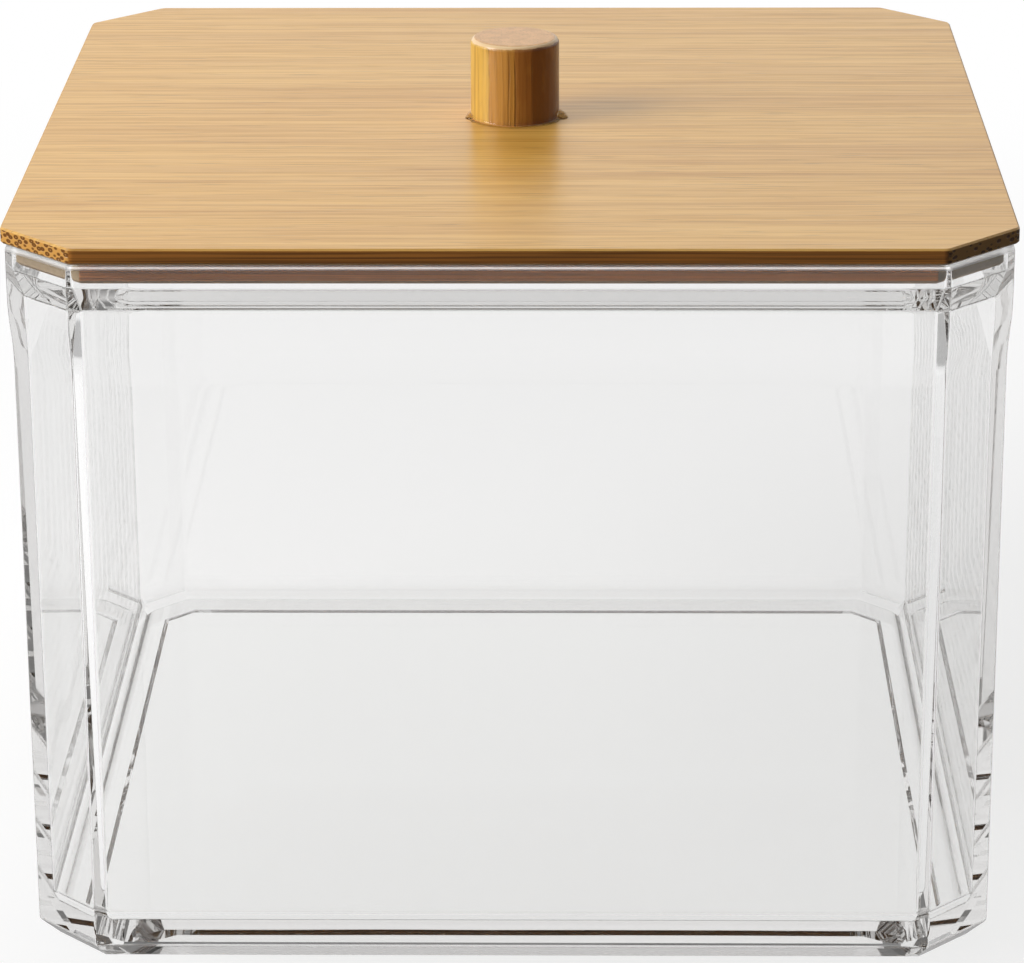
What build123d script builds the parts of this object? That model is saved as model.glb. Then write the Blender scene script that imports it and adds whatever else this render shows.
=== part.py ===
"""Cotton pad holder: a clear moulded jar with cut corners and a lift-off bamboo lid.

Millimetres, +Z up. The origin is the centre of the jar's underside, where it stands.
Everything is symmetric about the Z axis except the drops of adhesive round the knob.
"""
import os
from math import cos, radians, sin, sqrt, tan

from build123d import *

# ---- Lid: the driving sizes of the whole holder ----
LID_WIDTH = 110.0            # across the flat sides, both ways
LID_CORNER_CUT = 8.3         # leg of the 45 degree corner cut
PANEL_THICKNESS = 1.8        # top board
PANEL_CORNER_RADIUS = 1.2    # upright edges of the top board
PANEL_EDGE_BREAK = 0.2       # sanded rim of the top board, above and below
PLUG_THICKNESS = 2.6         # locating board glued under the top board
PLUG_CORNER_RADIUS = 0.6
PLUG_LEAD_IN = 0.4           # bevel that guides the locating board into the mouth

# ---- Jar ----
JAR_HEIGHT = 82.4
LID_OVERHANG = 0.5           # lid past the jar's rim, on the flat sides
LID_CORNER_OVERHANG = 0.1    # the same at the cut corners
RIM_WALL = 1.2               # thin wall round the locating board
RIM_OUTER_RADIUS = 0.7
RIM_INNER_RADIUS = 0.3
SHOULDER_HEIGHT = 3.0        # slope from the thin rim wall down to the full wall
SHOULDER_TOP_RADIUS = 0.5
SHOULDER_FOOT_RADIUS = 0.8
WALL = 2.6                   # full wall, just under the shoulder
CAVITY_DRAFT = 0.25          # degrees, so the core pulls out of the mould
COLLAR_FLARE = 0.45          # the collar stands this far proud of the body
FLARE_HEIGHT = 8.0           # height over which the body swells into the collar
FLOOR_THICKNESS = 4.0
FLOOR_FILLET = 2.0           # round where floor and wall meet
FOOT_BEVEL = 2.1             # 45 degree bevel round the foot
FOOT_BEVEL_RADIUS = 0.6      # soft bend where the bevel meets the wall
FOOT_RING_WIDTH = 4.0        # flat ring that the jar stands on
UNDERSIDE_RECESS = 0.6       # underside inside that ring, lifted clear of the table
OUTER_CORNER_RADIUS = 0.4    # where two outside walls meet
INNER_CORNER_RADIUS = 0.5    # where two inside walls meet

# ---- Knob, its screw and the adhesive round its foot ----
KNOB_DIAMETER = 10.4
KNOB_HEIGHT = 9.6
KNOB_TOP_RADIUS = 0.7
KNOB_FOOT_BREAK = 0.15
SCREW_DIAMETER = 3.0
SCREW_LENGTH = 11.5
SCREW_POINT = 2.0
SCREW_HEAD_DIAMETER = 5.6
SCREW_HEAD_LAND = 0.3        # straight edge of the countersunk head
SCREW_DRIVE_WIDTH = 0.7
SCREW_DRIVE_SPAN = 3.0
SCREW_DRIVE_DEPTH = 1.0
PILOT_DIAMETER = 2.4         # the thread bites into the knob round this hole
BEAD_WIDTH = 0.5
BEAD_HEIGHT = 0.5
BEAD_EDGE = 0.06             # the bead thins out to this at both edges
BEAD_HOLLOW = 0.38           # how full its face is, where 0.5 would be straight

# ---- Clearances ----
PLUG_SIDE_GAP = 0.35         # locating board to the rim wall, on the flat sides
PLUG_CORNER_GAP = 0.8        # the same at the cut corners
PLUG_SHOULDER_GAP = 0.3      # locating board's underside above the shoulder
SCREW_HOLE_GAP = 0.1         # round the shank in both boards
SCREW_HEAD_GAP = 0.05        # round the head in its countersink
PILOT_END_GAP = 0.8          # past the screw's point

# Adhesive drops: direction round the knob in degrees, radius, how far the centre is sunk.
GLUE_DROPS = (
    (-8.0, 1.15, 0.25),
    (10.0, 0.75, 0.15),
    (192.0, 0.80, 0.20),
)

# ---- Worked out from the sizes above ----
ROOT_2 = sqrt(2.0)
LEVEL = 0.1                  # an edge whose direction rises less than this is level
LID_SIDE = LID_WIDTH / 2
LID_CORNER = (LID_WIDTH - LID_CORNER_CUT) / ROOT_2
RIM_SIDE = LID_SIDE - LID_OVERHANG
RIM_CORNER = LID_CORNER - LID_CORNER_OVERHANG
PANEL_UNDERSIDE = JAR_HEIGHT
PANEL_TOP = PANEL_UNDERSIDE + PANEL_THICKNESS
PLUG_UNDERSIDE = PANEL_UNDERSIDE - PLUG_THICKNESS
SHOULDER_TOP = PLUG_UNDERSIDE - PLUG_SHOULDER_GAP
SHOULDER_FOOT = SHOULDER_TOP - SHOULDER_HEIGHT
SCREW_RADIUS = SCREW_DIAMETER / 2
SCREW_HEAD_RADIUS = SCREW_HEAD_DIAMETER / 2
KNOB_RADIUS = KNOB_DIAMETER / 2


def octagon(side, corner):
    """A square with cut corners, from the reach of its sides and of its corner cuts."""
    end = corner * ROOT_2 - side
    right_half = [(side, -end), (side, end), (end, side), (-end, side)]
    left_half = [(-x, -y) for x, y in right_half]
    return make_face(Polyline(*right_half, *left_half, close=True))


def upright_edges(board):
    """The eight upright edges of an octagonal board."""
    return board.edges().filter_by(Axis.Z)


def eight_sided(outline, side, corner):
    """The solid whose eight walls all have one section.

    outline(reach) gives half of the section, from the axis out to a wall whose rim lies
    that far out. Each pair of opposite walls is a bar of that section, and the solid is
    what the four bars share.
    """
    bars = []
    for turn, reach in ((0, side), (45, corner), (90, side), (135, corner)):
        half = make_face(Plane.XZ * outline(reach))
        section = half + mirror(half, about=Plane.YZ)
        bar = extrude(section, amount=2 * side, both=True)
        bars.append(Rot(0, 0, turn) * bar)
    solid = bars[0]
    for bar in bars[1:]:
        solid = solid & bar
    return solid


def rounded_corners(solid, radius):
    """The same solid with a round where each wall meets the next, from foot to rim."""
    corners = [edge for edge in solid.edges() if abs(edge.tangent_at(0.5).Z) > LEVEL]
    return fillet(corners, radius)


def outside(reach):
    """Half section of the jar's outside: foot bevel, body, swelling collar and rim."""
    body = reach - COLLAR_FLARE
    flare_foot = SHOULDER_FOOT - FLARE_HEIGHT
    middle = ((body + reach) / 2, (flare_foot + SHOULDER_FOOT) / 2)
    up = (0, 1)
    foot = Polyline(
        (0, 0),
        (body - FOOT_BEVEL, 0),
        (body, FOOT_BEVEL),
        (body, flare_foot),
    )
    lower_flare = TangentArc((body, flare_foot), middle, tangent=up)
    upper_flare = TangentArc(middle, (reach, SHOULDER_FOOT), tangent=lower_flare % 1)
    collar = Line((reach, SHOULDER_FOOT), (reach, JAR_HEIGHT - RIM_OUTER_RADIUS))
    rim = TangentArc(
        (reach, JAR_HEIGHT - RIM_OUTER_RADIUS),
        (reach - RIM_OUTER_RADIUS, JAR_HEIGHT),
        tangent=up,
    )
    top = Polyline((reach - RIM_OUTER_RADIUS, JAR_HEIGHT), (0, JAR_HEIGHT), (0, 0))
    return Curve() + [foot, lower_flare, upper_flare, collar, rim, top]


def cavity(reach):
    """Half section of the jar's inside, with sharp corners: floor, drafted wall, shoulder, mouth."""
    mouth = reach - RIM_WALL
    wall_top = reach - COLLAR_FLARE - WALL
    wall_foot = wall_top - (SHOULDER_FOOT - FLOOR_THICKNESS) * tan(radians(CAVITY_DRAFT))
    above = JAR_HEIGHT + RIM_WALL
    return Polyline(
        (0, FLOOR_THICKNESS),
        (wall_foot, FLOOR_THICKNESS),
        (wall_top, SHOULDER_FOOT),
        (mouth, SHOULDER_TOP),
        (mouth, above),
        (0, above),
        close=True,
    )


def level_edges(solid, height):
    """The level edges of a solid at one height."""
    near = solid.edges().filter_by_position(Axis.Z, height - LEVEL, height + LEVEL)
    return [edge for edge in near if abs(edge.tangent_at(0.5).Z) < LEVEL]


def make_core():
    """What the jar's inside is moulded round: filleted floor and shoulder, rounded corners."""
    core = eight_sided(cavity, RIM_SIDE, RIM_CORNER)
    core = fillet(level_edges(core, FLOOR_THICKNESS), FLOOR_FILLET)
    core = fillet(level_edges(core, SHOULDER_FOOT), SHOULDER_FOOT_RADIUS)
    core = fillet(level_edges(core, SHOULDER_TOP), SHOULDER_TOP_RADIUS)
    return rounded_corners(core, INNER_CORNER_RADIUS)


def make_jar():
    """One clear moulding: octagonal, open at the top, standing on a shallow foot ring."""
    body = eight_sided(outside, RIM_SIDE, RIM_CORNER)
    body = fillet(level_edges(body, FOOT_BEVEL), FOOT_BEVEL_RADIUS)
    body = rounded_corners(body, OUTER_CORNER_RADIUS)
    inset = COLLAR_FLARE + FOOT_BEVEL + FOOT_RING_WIDTH
    recess = octagon(RIM_SIDE - inset, RIM_CORNER - inset)
    jar = body - make_core() - extrude(recess, amount=UNDERSIDE_RECESS, taper=45)
    rim = jar.faces().sort_by(Axis.Z)[-1]
    return fillet(rim.inner_wires()[0].edges(), RIM_INNER_RADIUS)


def make_lid_panel():
    """The top board, with sanded edges and a clearance hole for the knob's screw."""
    board = extrude(octagon(LID_SIDE, LID_CORNER), amount=PANEL_THICKNESS)
    board = fillet(upright_edges(board), PANEL_CORNER_RADIUS)
    rims = board.edges().group_by(Axis.Z)
    board = chamfer(rims[0] + rims[-1], PANEL_EDGE_BREAK)
    board = Pos(0, 0, PANEL_UNDERSIDE) * board
    return board - screw_hole()


def make_lid_plug():
    """The smaller board under the top one. It drops into the mouth and centres the lid."""
    side = RIM_SIDE - RIM_WALL - PLUG_SIDE_GAP
    corner = RIM_CORNER - RIM_WALL - PLUG_CORNER_GAP
    board = extrude(octagon(side, corner), amount=PLUG_THICKNESS)
    board = fillet(upright_edges(board), PLUG_CORNER_RADIUS)
    board = chamfer(board.edges().group_by(Axis.Z)[0], PLUG_LEAD_IN)
    board = Pos(0, 0, PLUG_UNDERSIDE) * board
    return board - screw_hole()


def screw_hole():
    """Clearance for the shank through both boards, with a countersink from below."""
    shank = SCREW_RADIUS + SCREW_HOLE_GAP
    head = SCREW_HEAD_RADIUS + SCREW_HEAD_GAP
    land = PLUG_UNDERSIDE + SCREW_HEAD_LAND
    return revolved(
        (0, PLUG_UNDERSIDE),
        (head, PLUG_UNDERSIDE),
        (head, land),
        (shank, land + head - shank),
        (shank, PANEL_TOP),
        (0, PANEL_TOP),
    )


def revolved(*points):
    """A turned solid from the (radius, height) points of its half section."""
    return revolve(make_face(Plane.XZ * Polyline(*points, close=True)), axis=Axis.Z)


def make_knob():
    """A short bamboo dowel that stands on the lid, drilled from below for its screw."""
    dowel = Pos(0, 0, PANEL_TOP) * Cylinder(
        KNOB_RADIUS, KNOB_HEIGHT, align=(Align.CENTER, Align.CENTER, Align.MIN)
    )
    dowel = fillet(dowel.edges().group_by(Axis.Z)[-1], KNOB_TOP_RADIUS)
    dowel = chamfer(dowel.edges().group_by(Axis.Z)[0], KNOB_FOOT_BREAK)
    pilot = PILOT_DIAMETER / 2
    pilot_end = PLUG_UNDERSIDE + SCREW_LENGTH + PILOT_END_GAP
    return dowel - revolved(
        (0, PANEL_TOP),
        (pilot, PANEL_TOP),
        (pilot, pilot_end - pilot),
        (0, pilot_end),
    )


def make_knob_screw():
    """Countersunk wood screw, driven up through both boards into the knob."""
    point = PLUG_UNDERSIDE + SCREW_LENGTH
    land = PLUG_UNDERSIDE + SCREW_HEAD_LAND
    screw = revolved(
        (0, PLUG_UNDERSIDE),
        (SCREW_HEAD_RADIUS, PLUG_UNDERSIDE),
        (SCREW_HEAD_RADIUS, land),
        (SCREW_RADIUS, land + SCREW_HEAD_RADIUS - SCREW_RADIUS),
        (SCREW_RADIUS, point - SCREW_POINT),
        (0, point),
    )
    for turn in (0, 90):
        slot = Box(
            SCREW_DRIVE_SPAN,
            SCREW_DRIVE_WIDTH,
            SCREW_DRIVE_DEPTH,
            align=(Align.CENTER, Align.CENTER, Align.MIN),
        )
        screw = screw - Pos(0, 0, PLUG_UNDERSIDE) * Rot(0, 0, turn) * slot
    return screw


def make_knob_glue():
    """Adhesive squeezed out round the knob's foot: a hollow bead and a few drops."""
    outer = KNOB_RADIUS + BEAD_WIDTH
    foot = (outer, PANEL_TOP + BEAD_EDGE)
    hollow = (KNOB_RADIUS + BEAD_WIDTH * BEAD_HOLLOW, PANEL_TOP + BEAD_HEIGHT * BEAD_HOLLOW)
    top = (KNOB_RADIUS + BEAD_EDGE, PANEL_TOP + BEAD_HEIGHT)
    back = Polyline(
        top,
        (KNOB_RADIUS, PANEL_TOP + BEAD_HEIGHT),
        (KNOB_RADIUS, PANEL_TOP),
        (outer, PANEL_TOP),
        foot,
    )
    section = make_face(Plane.XZ * (Curve() + [ThreePointArc(foot, hollow, top), back]))
    glue = revolve(section, axis=Axis.Z)
    for direction, radius, sunk in GLUE_DROPS:
        angle = radians(direction)
        centre = Pos(
            KNOB_RADIUS * cos(angle),
            KNOB_RADIUS * sin(angle),
            PANEL_TOP - sunk,
        )
        glue = glue + centre * Sphere(radius)
    reach = 2 * KNOB_RADIUS
    above = Cylinder(KNOB_RADIUS, 2 * KNOB_HEIGHT)
    below = Cylinder(reach, reach, align=(Align.CENTER, Align.CENTER, Align.MAX))
    glue = glue - Pos(0, 0, PANEL_TOP) * above
    return glue - Pos(0, 0, PANEL_TOP) * below


PARTS = {
    "jar": make_jar,
    "lid_panel": make_lid_panel,
    "lid_plug": make_lid_plug,
    "knob": make_knob,
    "knob_screw": make_knob_screw,
    "knob_glue": make_knob_glue,
}


os.makedirs("parts", exist_ok=True)
for name, make in PARTS.items():
    export_step(make(), f"parts/{name}.step")
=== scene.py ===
"""Looks of a clear moulded jar with a thin lift-off bamboo lid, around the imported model.

Metres, +Z up, in the model's own frame. Lengths inside the materials are in millimetres,
as the names ending in _MM and the function grain_point() say.
"""
from math import cos, pi, radians, sin

import bpy
from mathutils import Matrix, Vector

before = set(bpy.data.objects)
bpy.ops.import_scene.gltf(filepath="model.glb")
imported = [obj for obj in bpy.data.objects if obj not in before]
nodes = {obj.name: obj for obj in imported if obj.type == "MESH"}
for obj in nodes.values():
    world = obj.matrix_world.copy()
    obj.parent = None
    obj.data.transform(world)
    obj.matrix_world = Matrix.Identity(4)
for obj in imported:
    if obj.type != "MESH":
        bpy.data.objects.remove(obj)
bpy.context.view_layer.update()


def grey(level):
    return (level, level, level, 1.0)


WHITE = grey(1.0)
MM_PER_M = 1000.0

# ---- Numbers of node sockets that have no name of their own ----
X, Y, Z = 0, 1, 2                                      # Separate XYZ, Combine XYZ
GENERATED, NORMAL, OBJECT = 0, 1, 3                    # outputs of Texture Coordinate
NUMBER = 1                                             # output of Vector Math
MIX_SHARE, MIX_A, MIX_B, MIX_COLOUR = 0, 6, 7, 2       # Mix, set to colours

# ---- Camera: fitted to the photograph, which is 1024 pixels wide ----
FRAME_WIDTH_PX = 1024
FOCAL_PX = 4258.0
SENSOR_WIDTH = 36.0
CAMERA_AT = (0.00751, -0.48760, 0.21329)
CAMERA_DOWN = 19.734         # degrees below level
CAMERA_YAW = -0.949          # degrees from +Y towards +X
CAMERA_ROLL = -0.269         # degrees
CAMERA_CLIP = (0.01, 50.0)

# ---- Lamps: name, place, width, height, share of full light on a surface that faces it ----
AIM = Vector((0.0, 0.0, 0.07))
KEY = ("key", (-0.44, -0.16, 0.33), 0.30, 0.30, 0.98)
TOP = ("top", (0.05, 0.25, 0.95), 0.80, 0.80, 0.26)
BACK = ("back", (0.00, 0.75, 0.60), 0.60, 0.40, 0.34)        # lights, but is not mirrored
GLINT = ("glint", (0.06, -0.70, 0.56), 0.70, 0.75, 5.00)     # mirrored by the jar, lights nothing

# ---- Room ----
AMBIENT = grey(0.06)         # its soft light on the object
# The rest is for rays that mirror or refract the room. The camera sees plain white.
CEILING = grey(0.66)
CEILING_FROM = (36.0, 48.0)  # degrees of elevation over which the walls turn into ceiling
SLOT = grey(0.30)
SLOT_AT = 60.0               # elevation of a dark slot in the ceiling, in degrees
SLOT_HALF = (0.020, 0.035)   # half its height, as a share of the way to the zenith
FLAG = grey(0.30)
FLAG_FROM = (0.72, 0.86)     # how squarely a ray must head left or right to meet a dark flag
DIM_SIDE = (0.5, -0.866, 0.0)    # the side of the room that mirrors show darker
DIM_FROM = (0.0, 0.7)        # how squarely a ray must head there
DIM_COLOUR = grey(0.35)

# ---- Floor ----
FLOOR_DROP = 0.0001          # floor below the jar's foot ring, so that no faces coincide
FLOOR_REACH = 4.0
FLOOR_COLOUR = grey(0.40)
FLOOR_BOUNCE = grey(0.08)    # its colour for the light that it throws back
FLOOR_GLOW = 0.62            # of white, for rays that show the floor
FLOOR_IN_GLOSS = grey(0.12)
FLOOR_FADE = (0.13, 0.36)    # from this radius to this the floor turns to plain white
FLOOR_RIGHT = (0.30, 0.42)   # beyond this X the floor goes dark for rays deep in the glass
FLOOR_RIGHT_END = (0.03, 0.03, 0.025, 1.0)
FLOOR_LEFT = (-0.45, -0.60)  # the same on the left
FLOOR_LEFT_END = grey(0.15)

# ---- Light inside the clear walls ----
DEEP_TURNS = (4.5, 5.5)      # a way straight through the jar takes four turns, a deep one more
GLASS_BOUNCES = 96           # light that runs down inside a clear wall turns this often

# ---- Clear moulding ----
JAR_COLOUR = (0.972, 0.971, 0.969, 1.0)
JAR_IOR = 1.53
JAR_WAVES_MM = (16.0, 16.0, 30.0)
JAR_WAVE_HEIGHT = 0.000006
JAR_PASSES = (0.97, 0.975, 0.97, 1.0)    # what is left of a lamp's light behind it
JAR_TINT = (0.52, 0.50, 0.48, 1.0)
JAR_DENSITY = 4.0            # per metre: long ways through the plastic come out grey
RIM_SATIN_MM = (81.55, 81.75)    # heights over which the rim turns satin, under the lid
RIM_ROUGHNESS = 0.4

# ---- Bamboo boards: grain sizes along X, Y and Z ----
FIBRES_MM = (26.0, 0.42, 0.42)
STREAKS_MM = (60.0, 1.5, 1.5)
BANDS_MM = (150.0, 11.0, 11.0)
DASHES_MM = (7.0, 0.30, 0.30)
LAYERS_MM = (40.0, 0.3, 0.28)
FIBRES_SHARE, STREAKS_SHARE, BANDS_SHARE = 0.50, 0.32, 0.18     # of a face's darker tone
DASHES_SHARE = 0.45
DASH_SHADE = 0.6             # a dash is this much of the dark tone
LAYER_SHADE = 0.38           # a dark layer is this much of the side's colour
PORE_PITCH_MM = 0.95
PORE_LENGTH_MM = 60.0
PORE_ROW_SLOPE = 1.15        # squeezes the net of pores, so that its rows lie closer
PORE_DISORDER = 0.55
PORE_RING = (0.50, 0.34)     # from outside a ring to the dark of it, in pitches
PORE_HEART = (0.06, 0.20)    # the paler heart of a pore
PORE_HEART_TONE = 0.55
DARK_PORE = (0.16, 0.050, 0.008, 1.0)
FACING_END = (0.30, 0.50)    # how squarely a surface faces along X to show end grain
FACING_UP = (0.45, 0.75)     # how squarely up or down to show the face of the board
BOARD_GRAIN_HEIGHT = 0.00003
ROUGHER_FIBRES = 0.10
EDGE_POLISH = 0.12           # the edges are this much less rough than the faces
COAT_ROUGHNESS = 0.22
BAMBOO_IOR = 1.5

# ---- Knob: where each strip starts along X, in millimetres, and its colour ----
# The strips step darker towards +X, the side away from the key lamp: their own tones, with painted
# shade of that side.
KNOB_STRIPS_AND_PAINTED_SHADE = (
    (None, (0.78, 0.49, 0.10, 1.0)),
    (-3.05, (0.60, 0.30, 0.065, 1.0)),
    (-0.65, (0.56, 0.28, 0.055, 1.0)),
    (0.10, (0.38, 0.155, 0.030, 1.0)),
    (2.10, (0.22, 0.075, 0.008, 1.0)),
)
STRIP_BLEND_MM = 0.12        # either side of a joint between strips
STRIP_WANDER_MM = 0.55
KNOB_SEAM = (0.15, 0.060, 0.012, 1.0)
SEAM_HALF_MM = (0.16, 0.02)
SEAM_SHARE = 0.60
KNOB_RIM = (0.84, 0.60, 0.33, 1.0)
RIM_RAGGED = 0.4
KNOB_END = ((0.72, 0.375, 0.12, 1.0), (0.60, 0.31, 0.095, 1.0))
SPECKS_MM = (0.42, 0.42, 30.0)
SPECK_SHADE = 0.5
KNOB_ROUGHNESS = 0.27
KNOB_GRAIN_HEIGHT = 0.00006

# ---- Adhesive and screw ----
GLUE_COLOUR = (0.96, 0.92, 0.84, 1.0)
GLUE_IOR = 1.05
GLUE_SKIN_MM = (0.5, 0.5, 0.5)
GLUE_SKIN_HEIGHT = 0.00008
STEEL = ((0.66, 0.66, 0.64, 1.0), (0.50, 0.50, 0.49, 1.0))
STEEL_RINGS_MM = (2.5, 2.5, 0.12)
STEEL_MOTTLE_MM = (0.7, 0.7, 0.7)
STEEL_ROUGHNESS = (0.28, 0.42)
STEEL_RING_HEIGHT = 0.00002


class Shader:
    """A node tree written as calls. Each call adds a node and returns one of its outputs."""

    def __init__(self, owner):
        owner.use_nodes = True
        self.tree = owner.node_tree
        self.tree.nodes.clear()

    def add(self, kind, inputs=None, output=0, **settings):
        node = self.tree.nodes.new("ShaderNode" + kind)
        for name, value in settings.items():
            setattr(node, name, value)
        for key, value in (inputs or {}).items():
            if isinstance(value, bpy.types.NodeSocket):
                self.tree.links.new(value, node.inputs[key])
            else:
                node.inputs[key].default_value = value
        return node.outputs[output]

    def finish(self, shader, kind="OutputMaterial", volume=None):
        ends = self.tree.nodes.new("ShaderNode" + kind).inputs
        self.tree.links.new(shader, ends["Surface"])
        if volume:
            self.tree.links.new(volume, ends["Volume"])

    def math(self, operation, a, b=0.0):
        return self.add("Math", {0: a, 1: b}, operation=operation)

    def plus(self, a, b):
        return self.math("ADD", a, b)

    def minus(self, a, b):
        return self.math("SUBTRACT", a, b)

    def times(self, a, b):
        return self.math("MULTIPLY", a, b)

    def size(self, a):
        """The value without its sign."""
        return self.math("ABSOLUTE", a)

    def mix(self, share, a, b):
        """Colour a where share is 0, colour b where it is 1."""
        return self.add("Mix", {MIX_SHARE: share, MIX_A: a, MIX_B: b}, output=MIX_COLOUR,
                        data_type="RGBA")

    def step(self, value, low, high):
        """0 where value is under low, 1 over high, smooth between. low may be above high."""
        if low > high:
            return self.minus(1.0, self.step(value, high, low))
        limits = {"Value": value, "From Min": low, "From Max": high}
        return self.add("MapRange", limits, interpolation_type="SMOOTHSTEP")

    def span(self, value, low, high):
        """Noise turned into a value that runs from low to high."""
        limits = {"Value": value, "From Min": 0.3, "From Max": 0.7, "To Min": low, "To Max": high}
        return self.add("MapRange", limits)

    def noise(self, size_mm, detail=3.0, roughness=0.5):
        """Noise whose grain has a size in millimetres along X, Y and Z of the part."""
        point = self.grain_point(size_mm)
        settings = {"Vector": point, "Scale": 1.0, "Detail": detail, "Roughness": roughness}
        return self.add("TexNoise", settings)

    def wander(self, size_mm, detail=3.0):
        """Noise about zero."""
        return self.minus(self.noise(size_mm, detail), 0.5)

    def grain_point(self, size_mm):
        """The point on the part divided by a size in millimetres along X, Y and Z."""
        scale = [MM_PER_M / size for size in size_mm]
        return self.add("VectorMath", {0: self.point(), 1: scale}, operation="MULTIPLY")

    def point(self):
        """The point on the part, in metres."""
        return self.add("TexCoord", output=OBJECT)

    def along(self, axis, vector):
        return self.add("SeparateXYZ", {0: vector}, output=axis)

    def place(self, axis):
        """The point's coordinate along an axis of the part, in millimetres."""
        return self.times(self.along(axis, self.point()), MM_PER_M)

    def facing(self, axis):
        """How squarely the surface faces along an axis of the part, either way, 0 to 1."""
        return self.size(self.along(axis, self.add("TexCoord", output=NORMAL)))

    def path(self, *kinds):
        """The greatest of these outputs of Light Path: 1 for rays of any of these kinds."""
        outputs = self.tree.nodes.new("ShaderNodeLightPath").outputs
        share = outputs[kinds[0]]
        for kind in kinds[1:]:
            share = self.math("MAXIMUM", share, outputs[kind])
        return share

    def seen(self):
        """1 for rays that show, mirror or refract what they hit, 0 for rays that light it."""
        return self.path("Is Camera Ray", "Is Glossy Ray", "Is Transmission Ray")

    def mirrored(self):
        """1 for rays that show what a surface mirrors, 0 for all others."""
        return self.minus(self.path("Is Glossy Ray"), self.path("Is Transmission Ray"))

    def deep(self):
        """1 for rays that have turned often inside the clear walls, else 0."""
        return self.step(self.path("Ray Depth"), *DEEP_TURNS)

    def bump(self, height, distance):
        return self.add("Bump", {"Height": height, "Distance": distance})

    def principled(self, **inputs):
        """Principled shader. An underscore in a name here stands for a space in the socket's."""
        return self.add("BsdfPrincipled", {k.replace("_", " "): v for k, v in inputs.items()})

    def glow(self, colour, strength=1.0):
        return self.add("Emission", {"Color": colour, "Strength": strength})

    def mix_shaders(self, share, a, b):
        """Shader a where share is 0, shader b where it is 1."""
        return self.add("MixShader", {0: share, 1: a, 2: b})

    def lights_pass(self, shader, tint=WHITE):
        """The same clear shader for the eye, but lamps and soft light go straight through."""
        open_way = self.add("BsdfTransparent", {"Color": tint})
        return self.mix_shaders(self.path("Is Shadow Ray", "Is Diffuse Ray"), shader, open_way)


def new_material(name):
    material = bpy.data.materials.new(name)
    return material, Shader(material)


def darker(colour, share):
    return tuple(share * c for c in colour[:3]) + (1.0,)


# ---------------------------------------------------------------- materials
def clear_plastic():
    """Polished clear moulding with the faint waviness that a mould leaves, and a satin rim."""
    material, s = new_material("clear_moulding")
    glass = s.principled(
        Base_Color=JAR_COLOUR,
        Roughness=s.times(s.step(s.place(Z), *RIM_SATIN_MM), RIM_ROUGHNESS),
        IOR=JAR_IOR,
        Transmission_Weight=1.0,
        Normal=s.bump(s.noise(JAR_WAVES_MM, detail=0.0), JAR_WAVE_HEIGHT),
    )
    dulling = s.add("VolumeAbsorption", {"Color": JAR_TINT, "Density": JAR_DENSITY})
    s.finish(s.lights_pass(glass, JAR_PASSES), volume=dulling)
    return material


def bamboo_board(name, light, dark, side, end, pores, roughness, coat):
    """A bamboo board with its fibres along X: streaks on its faces, pores on its ends."""
    material, s = new_material(name)
    fibres = s.noise(FIBRES_MM, detail=4.0, roughness=0.62)
    streaks = s.noise(STREAKS_MM, detail=2.0)
    bands = s.noise(BANDS_MM, detail=1.0)
    tone = s.plus(s.times(s.step(fibres, 0.40, 0.62), FIBRES_SHARE),
                  s.times(s.step(streaks, 0.38, 0.64), STREAKS_SHARE))
    tone = s.plus(tone, s.times(s.step(bands, 0.35, 0.65), BANDS_SHARE))
    dashes = s.step(s.noise(DASHES_MM, detail=1.0), 0.62, 0.72)
    face = s.mix(tone, light, dark)
    face = s.mix(s.times(dashes, DASHES_SHARE), face, darker(dark, DASH_SHADE))

    # Long sides: the layers of the board show as streaks along it.
    layers = s.noise(LAYERS_MM, detail=3.0, roughness=0.6)
    long_side = s.mix(s.step(layers, 0.35, 0.68), side, darker(side, LAYER_SHADE))

    # Ends and cut corners: fibre bundles as dark rings in a pale net.
    y, slanted = s.place(Y), s.times(s.place(Z), PORE_ROW_SLOPE)
    cell = s.add("CombineXYZ", {
        X: s.math("DIVIDE", s.plus(y, slanted), PORE_PITCH_MM),
        Y: s.math("DIVIDE", s.minus(y, slanted), PORE_PITCH_MM),
        Z: s.math("DIVIDE", s.place(X), PORE_LENGTH_MM),
    })
    off_centre = s.add("TexVoronoi", {"Vector": cell, "Scale": 1.0, "Randomness": PORE_DISORDER},
                       voronoi_dimensions="3D")
    heart = s.span(s.step(off_centre, *PORE_HEART), PORE_HEART_TONE, 1.0)
    blot = s.times(s.step(off_centre, *PORE_RING), heart)
    short_side = s.mix(s.times(blot, pores), end, DARK_PORE)

    is_end = s.step(s.facing(X), *FACING_END)
    is_face = s.step(s.facing(Z), *FACING_UP)
    is_edge = s.minus(1.0, is_face)
    grain = s.times(s.plus(fibres, s.times(dashes, -0.5)), is_face)
    pits = s.times(s.times(blot, -pores), s.times(is_end, is_edge))
    s.finish(s.principled(
        Base_Color=s.mix(is_face, s.mix(is_end, long_side, short_side), face),
        Roughness=s.minus(s.span(fibres, roughness, roughness + ROUGHER_FIBRES),
                          s.times(is_edge, EDGE_POLISH)),
        IOR=BAMBOO_IOR,
        Coat_Weight=coat,
        Coat_Roughness=COAT_ROUGHNESS,
        Normal=s.bump(s.plus(grain, pits), BOARD_GRAIN_HEIGHT),
    ))
    return material


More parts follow.
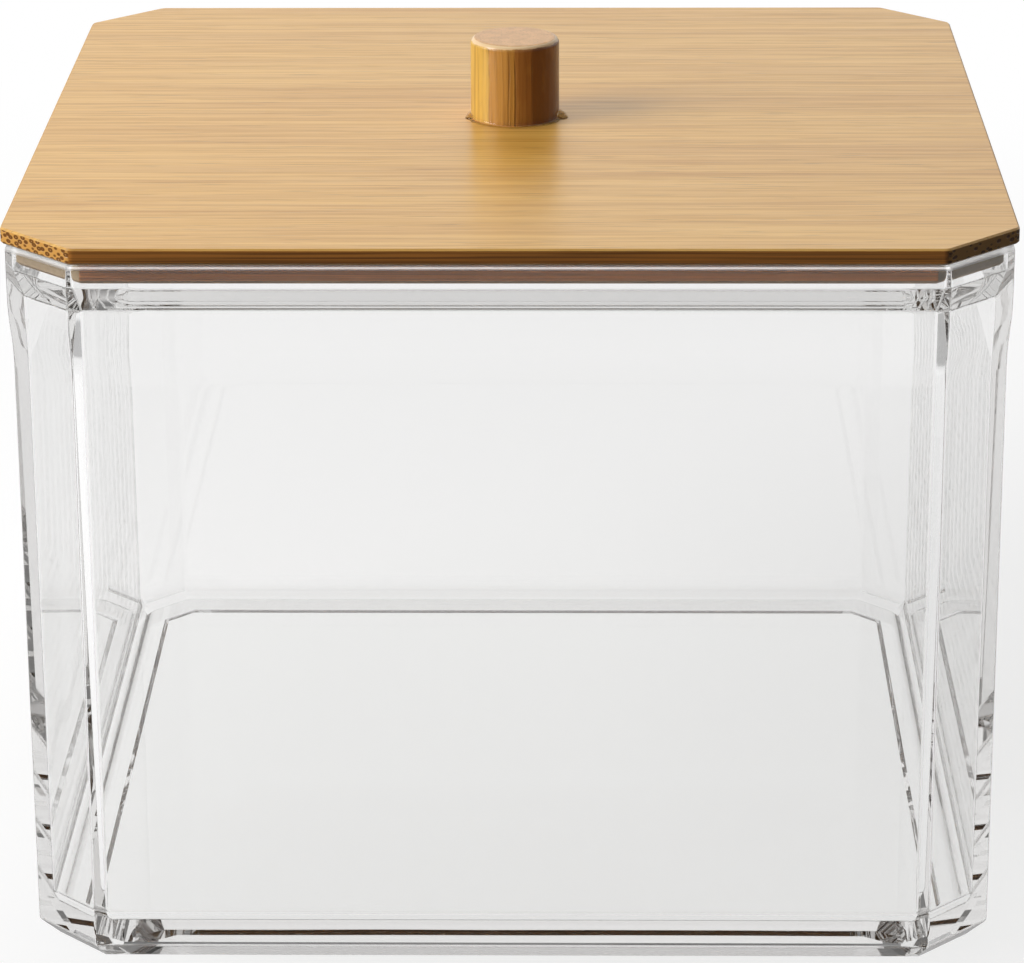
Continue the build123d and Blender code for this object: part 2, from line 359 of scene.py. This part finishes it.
def bamboo_knob():
    """A dowel of upright laminated strips, darker towards +X with painted shade of its unlit side,
    with a paler rim and end grain on top.
    """
    material, s = new_material("bamboo_dowel")
    up = s.facing(Z)
    is_side = s.step(up, 0.45, 0.25)
    x = s.plus(s.place(X), s.times(s.wander((1.2, 1.2, 7.0), detail=2.0), STRIP_WANDER_MM))
    # Strips from pale to dark along X: their own tones, with painted shade of the side away from
    # the key lamp.
    colour = KNOB_STRIPS_AND_PAINTED_SHADE[0][1]
    seams = 0.0
    for edge_mm, next_colour in KNOB_STRIPS_AND_PAINTED_SHADE[1:]:
        over_edge = s.step(x, edge_mm - STRIP_BLEND_MM, edge_mm + STRIP_BLEND_MM)
        colour = s.mix(over_edge, colour, next_colour)
        off = s.size(s.minus(x, edge_mm))
        seams = s.math("MAXIMUM", seams, s.step(off, *SEAM_HALF_MM))
    fibres = s.noise((0.35, 0.35, 12.0), detail=3.0, roughness=0.6)
    patches = s.noise((1.6, 1.6, 5.0), detail=2.0)
    seams = s.times(s.times(seams, is_side), s.step(patches, 0.35, 0.62))
    colour = s.mix(s.times(s.step(fibres, 0.38, 0.70), 0.40), colour, KNOB_STRIPS_AND_PAINTED_SHADE[-1][1])
    colour = s.mix(s.times(s.step(patches, 0.50, 0.75), 0.25), colour, KNOB_STRIPS_AND_PAINTED_SHADE[2][1])
    colour = s.mix(s.times(seams, SEAM_SHARE), colour, KNOB_SEAM)

    # Top: end grain with specks, and a rim whose edge towards the side is ragged.
    specks = s.add("TexVoronoi", {"Vector": s.grain_point(SPECKS_MM), "Scale": 1.0,
                                  "Randomness": 0.7})
    clouds = s.noise((1.3, 1.3, 30.0), detail=2.0)
    end = s.mix(s.step(clouds, 0.35, 0.65), *KNOB_END)
    speck = darker(KNOB_END[1], SPECK_SHADE)
    end = s.mix(s.times(s.step(specks, 0.34, 0.12), 0.45), end, speck)
    top = s.mix(s.step(up, 0.88, 0.97), KNOB_RIM, end)
    ragged = s.plus(up, s.times(s.wander((0.9, 0.9, 9.0)), RIM_RAGGED))
    s.finish(s.principled(
        Base_Color=s.mix(s.step(ragged, 0.40, 0.58), colour, top),
        Roughness=KNOB_ROUGHNESS,
        IOR=BAMBOO_IOR,
        Normal=s.bump(s.minus(s.times(fibres, is_side), s.times(seams, 0.6)), KNOB_GRAIN_HEIGHT),
    ))
    return material


def clear_glue():
    """Clear adhesive that wets the wood: hardly bends light, but has a glossy uneven skin."""
    material, s = new_material("clear_adhesive")
    glass = s.principled(
        Base_Color=GLUE_COLOUR,
        Roughness=0.05,
        IOR=GLUE_IOR,
        Transmission_Weight=1.0,
        Coat_Weight=0.3,
        Coat_Roughness=0.06,
        Normal=s.bump(s.noise(GLUE_SKIN_MM, detail=2.0), GLUE_SKIN_HEIGHT),
    )
    s.finish(s.lights_pass(glass))
    return material


def screw_steel():
    """Zinc-plated steel with turned rings."""
    material, s = new_material("plated_steel")
    rings = s.noise(STEEL_RINGS_MM, detail=2.0)
    s.finish(s.principled(
        Base_Color=s.mix(s.step(s.noise(STEEL_MOTTLE_MM), 0.3, 0.7), *STEEL),
        Metallic=1.0,
        Roughness=s.span(rings, *STEEL_ROUGHNESS),
        Normal=s.bump(rings, STEEL_RING_HEIGHT),
    ))
    return material


def dress(node, material):
    """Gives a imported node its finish, in the material slot that it came with."""
    for slot in nodes[node].material_slots:
        slot.material = material


# ---------------------------------------------------------------- studio
def add_to_scene(name, data):
    thing = bpy.data.objects.new(name, data)
    bpy.context.scene.collection.objects.link(thing)
    return thing


def make_camera():
    down, yaw, roll = radians(CAMERA_DOWN), radians(CAMERA_YAW), radians(CAMERA_ROLL)
    ahead = Vector((sin(yaw) * cos(down), cos(yaw) * cos(down), -sin(down)))
    right = Vector((cos(yaw), -sin(yaw), 0.0))
    up = right.cross(ahead)
    rolled_right = cos(roll) * right + sin(roll) * up
    rolled_up = cos(roll) * up - sin(roll) * right
    camera = add_to_scene("camera", bpy.data.cameras.new("camera"))
    camera.data.sensor_width = SENSOR_WIDTH
    camera.data.lens = FOCAL_PX / FRAME_WIDTH_PX * SENSOR_WIDTH
    camera.data.clip_start, camera.data.clip_end = CAMERA_CLIP
    turn = Matrix((rolled_right, rolled_up, -ahead)).transposed()
    camera.matrix_world = Matrix.Translation(CAMERA_AT) @ turn.to_4x4()
    bpy.context.scene.camera = camera


def add_lamp(name, at, width, height, share):
    """A soft lamp that gives a surface facing it this share of full light.

    Neither the camera nor rays that come out of the glass see it as a bright shape.
    """
    lamp = add_to_scene(name, bpy.data.lights.new(name, "AREA"))
    away = Vector(at) - AIM
    lamp.data.shape = "RECTANGLE"
    lamp.data.size = width
    lamp.data.size_y = height
    lamp.data.energy = share * (pi * away.length) ** 2
    lamp.location = at
    lamp.rotation_mode = "QUATERNION"
    lamp.rotation_quaternion = away.to_track_quat("Z", "Y")
    lamp.visible_camera = False
    lamp.visible_transmission = False
    return lamp


def make_lamps():
    add_lamp(*KEY)
    add_lamp(*TOP)
    add_lamp(*BACK).visible_glossy = False
    glint = add_lamp(*GLINT)
    glint.visible_diffuse = False
    glint_meets = bpy.data.collections.new("glint_meets")
    glint_meets.objects.link(nodes["jar"])
    glint.light_linking.receiver_collection = glint_meets


def make_world():
    """White for rays that show it, with a ceiling and dark flags in the glass; dim for the rest."""
    world = bpy.data.worlds.new("studio")
    bpy.context.scene.world = world
    s = Shader(world)
    direction = s.add("TexCoord", output=GENERATED)
    sideways = s.size(s.along(X, direction))
    height = s.along(Z, direction)
    toward = s.add("VectorMath", {0: direction, 1: DIM_SIDE}, output=NUMBER,
                   operation="DOT_PRODUCT")
    room = s.mix(s.times(s.step(toward, *DIM_FROM), s.mirrored()), WHITE, DIM_COLOUR)
    room = s.mix(s.times(s.step(sideways, *FLAG_FROM), s.deep()), room, FLAG)
    room = s.mix(s.step(height, *(sin(radians(a)) for a in CEILING_FROM)), room, CEILING)
    off_slot = s.size(s.minus(height, sin(radians(SLOT_AT))))
    room = s.mix(s.step(off_slot, *SLOT_HALF), SLOT, room)
    room = s.mix(s.path("Is Camera Ray"), room, WHITE)
    colour = s.mix(s.seen(), AMBIENT, room)
    s.finish(s.add("Background", {"Color": colour, "Strength": 1.0}), "OutputWorld")


def make_floor():
    """A pale floor that keeps the object's shadow and turns plain white further out."""
    mesh = bpy.data.meshes.new("floor")
    corners = [(x * FLOOR_REACH, y * FLOOR_REACH, -FLOOR_DROP) for x, y in
               ((-1, -1), (1, -1), (1, 1), (-1, 1))]
    mesh.from_pydata(corners, [], [(0, 1, 2, 3)])
    floor = add_to_scene("floor", mesh)
    material, s = new_material("pale_floor")
    seen = s.seen()
    matt = s.add("BsdfDiffuse", {"Color": s.mix(seen, FLOOR_BOUNCE, FLOOR_COLOUR)})
    near = s.add("AddShader", {0: matt, 1: s.glow(WHITE, s.times(seen, FLOOR_GLOW))})

    x = s.along(X, s.point())
    ends = s.mix(s.step(x, *FLOOR_RIGHT), WHITE, FLOOR_RIGHT_END)
    ends = s.mix(s.step(x, *FLOOR_LEFT), ends, FLOOR_LEFT_END)
    far = s.glow(s.mix(s.deep(), WHITE, ends))

    radius = s.add("VectorMath", {0: s.point()}, output=NUMBER, operation="LENGTH")
    shown = s.mix_shaders(s.times(s.step(radius, *FLOOR_FADE), seen), near, far)
    s.finish(s.mix_shaders(s.mirrored(), shown, s.glow(FLOOR_IN_GLOSS)))
    floor.data.materials.append(material)


# ---------------------------------------------------------------- the object
dress("jar", clear_plastic())
dress("lid_panel", bamboo_board(
    "bamboo_lid",
    light=(0.78, 0.455, 0.100, 1.0),
    dark=(0.54, 0.255, 0.036, 1.0),
    side=(0.66, 0.250, 0.044, 1.0),
    end=(0.80, 0.40, 0.095, 1.0),
    pores=0.9,
    roughness=0.28,
    coat=0.15,
))
dress("lid_plug", bamboo_board(
    "bamboo_locating_board",
    light=(0.52, 0.31, 0.13, 1.0),
    dark=(0.40, 0.22, 0.08, 1.0),
    side=(0.80, 0.29, 0.075, 1.0),
    end=(0.48, 0.34, 0.19, 1.0),
    pores=0.12,
    roughness=0.50,
    coat=0.0,
))
dress("knob", bamboo_knob())
dress("knob_screw", screw_steel())
dress("knob_glue", clear_glue())

make_camera()
make_world()
make_floor()
make_lamps()

scene = bpy.context.scene
scene.view_settings.view_transform = "Standard"
scene.cycles.max_bounces = GLASS_BOUNCES
scene.cycles.glossy_bounces = GLASS_BOUNCES
scene.cycles.transmission_bounces = GLASS_BOUNCES
